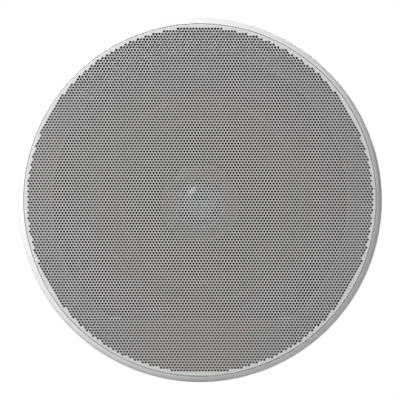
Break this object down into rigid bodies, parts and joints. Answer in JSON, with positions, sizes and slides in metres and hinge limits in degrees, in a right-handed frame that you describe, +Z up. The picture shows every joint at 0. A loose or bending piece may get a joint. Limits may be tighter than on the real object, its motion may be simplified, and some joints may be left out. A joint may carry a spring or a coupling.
{
  "type": "recessed speaker",
  "caption": "Round two-way speaker for a wall or ceiling cut-out, with a thin bezel, a perforated steel grille, an aimable tweeter and swing-out clamps.",
  "frame": {"origin": "centre of the flange's back face, on the body's axis", "axes": "+Y runs back into the wall along the body's axis, the grille faces -Y, +Z is up with the flat shelf at the bottom"},
  "size_m": [0.23, 0.0978, 0.23],
  "materials": {
    "white_plastic": "satin white, lightly grained",
    "grille_paint": "satin white paint on perforated steel",
    "nickel": "nickel plate",
    "dark_plastic": "dark grey satin plastic",
    "zinc": "bright zinc plate",
    "black_plastic": "black glass-filled plastic",
    "foam": "black foam",
    "basket_metal": "cast aluminium, dark grey paint",
    "black_steel": "black oxide",
    "roll_rubber": "matt butyl rubber",
    "cone_paper": "mineral-filled polypropylene, satin",
    "spider_cloth": "resin-dipped cloth",
    "former_foil": "polyimide film on foil",
    "laminate": "brown resin-bonded paper",
    "copper": "enamelled copper wire",
    "ferrite": "sintered ferrite, matt",
    "silver_plastic": "satin silver paint",
    "dome_metal": "anodised foil",
    "board_green": "solder mask on glass laminate",
    "film_wrap": "yellow film wrap",
    "ceramic": "white ceramic",
    "block_green": "green moulded plastic"
  },
  "bodies": {
    "speaker": {"frame": "white_plastic", "grille": "grille_paint", "grille_magnets": "nickel", "baffle": "dark_plastic", "baffle_screws": "zinc", "driver_gasket": "foam", "basket": "basket_metal", "basket_screws": "black_steel", "surround": "roll_rubber", "spider": "spider_cloth", "top_plate": "zinc", "woofer_magnet": "ferrite", "pole_piece": "zinc", "tag_strip": "laminate", "lead_tags": "nickel", "tweeter_post": "zinc", "post_nut": "zinc", "post_clip": "black_steel", "crossover_tray": "black_plastic", "crossover_board": "board_green", "board_screws": "zinc", "inductors": "copper", "capacitors": "film_wrap", "resistor": "ceramic", "terminal_block": "block_green", "terminal_screws": "zinc"},
    "woofer_cone": {"cone": "cone_paper", "coil_former": "former_foil", "voice_coil": "copper"},
    "tweeter_swivel": {"tweeter_yoke": "black_plastic"},
    "tweeter_pod": {"tweeter_housing": "silver_plastic", "tweeter_face": "silver_plastic", "tweeter_dome": "dome_metal", "tweeter_coil": "copper", "tweeter_pole": "zinc", "tweeter_magnet": "nickel", "tweeter_pot": "zinc"},
    "screw_1": {"clamp_screw_1": "zinc"},
    "leg_1": {"dog_leg_1": "black_plastic"},
    "screw_2": {"clamp_screw_2": "zinc"},
    "leg_2": {"dog_leg_2": "black_plastic"},
    "screw_3": {"clamp_screw_3": "zinc"},
    "leg_3": {"dog_leg_3": "black_plastic"},
    "screw_4": {"clamp_screw_4": "zinc"},
    "leg_4": {"dog_leg_4": "black_plastic"}
  },
  "joints": [
    {"name": "clamp_1_turn", "type": "hinge", "parent": "speaker", "child": "screw_1", "pos_m": [0.07311, 0.03, 0.04136], "axis": [0, 1, 0], "range_deg": [0, 90]},
    {"name": "clamp_1_draw", "type": "slide", "parent": "screw_1", "child": "leg_1", "axis": [0, -1, 0], "range_m": [0, 0.0295]},
    {"name": "clamp_2_turn", "type": "hinge", "parent": "speaker", "child": "screw_2", "pos_m": [-0.07311, 0.03, 0.04136], "axis": [0, 1, 0], "range_deg": [0, 90]},
    {"name": "clamp_2_draw", "type": "slide", "parent": "screw_2", "child": "leg_2", "axis": [0, -1, 0], "range_m": [0, 0.0295]},
    {"name": "clamp_3_turn", "type": "hinge", "parent": "speaker", "child": "screw_3", "pos_m": [-0.07311, 0.03, -0.04136], "axis": [0, 1, 0], "range_deg": [0, 90]},
    {"name": "clamp_3_draw", "type": "slide", "parent": "screw_3", "child": "leg_3", "axis": [0, -1, 0], "range_m": [0, 0.0295]},
    {"name": "clamp_4_turn", "type": "hinge", "parent": "speaker", "child": "screw_4", "pos_m": [0.07311, 0.03, -0.04136], "axis": [0, 1, 0], "range_deg": [0, 90]},
    {"name": "clamp_4_draw", "type": "slide", "parent": "screw_4", "child": "leg_4", "axis": [0, -1, 0], "range_m": [0, 0.0295]},
    {"name": "woofer_travel", "type": "slide", "parent": "speaker", "child": "woofer_cone", "axis": [0, -1, 0], "range_m": [-0.004, 0.004], "stiffness_N_per_m": 1200, "deforming": ["surround", "spider"]},
    {"name": "tweeter_turn", "type": "hinge", "parent": "speaker", "child": "tweeter_swivel", "pos_m": [0, 0.034, 0], "axis": [0, -1, 0], "range_deg": [-170, 170]},
    {"name": "tweeter_tilt", "type": "hinge", "parent": "tweeter_swivel", "child": "tweeter_pod", "pos_m": [0, 0.02146, 0], "axis": [1, 0, 0], "range_deg": [-23, 7]}
  ]
}
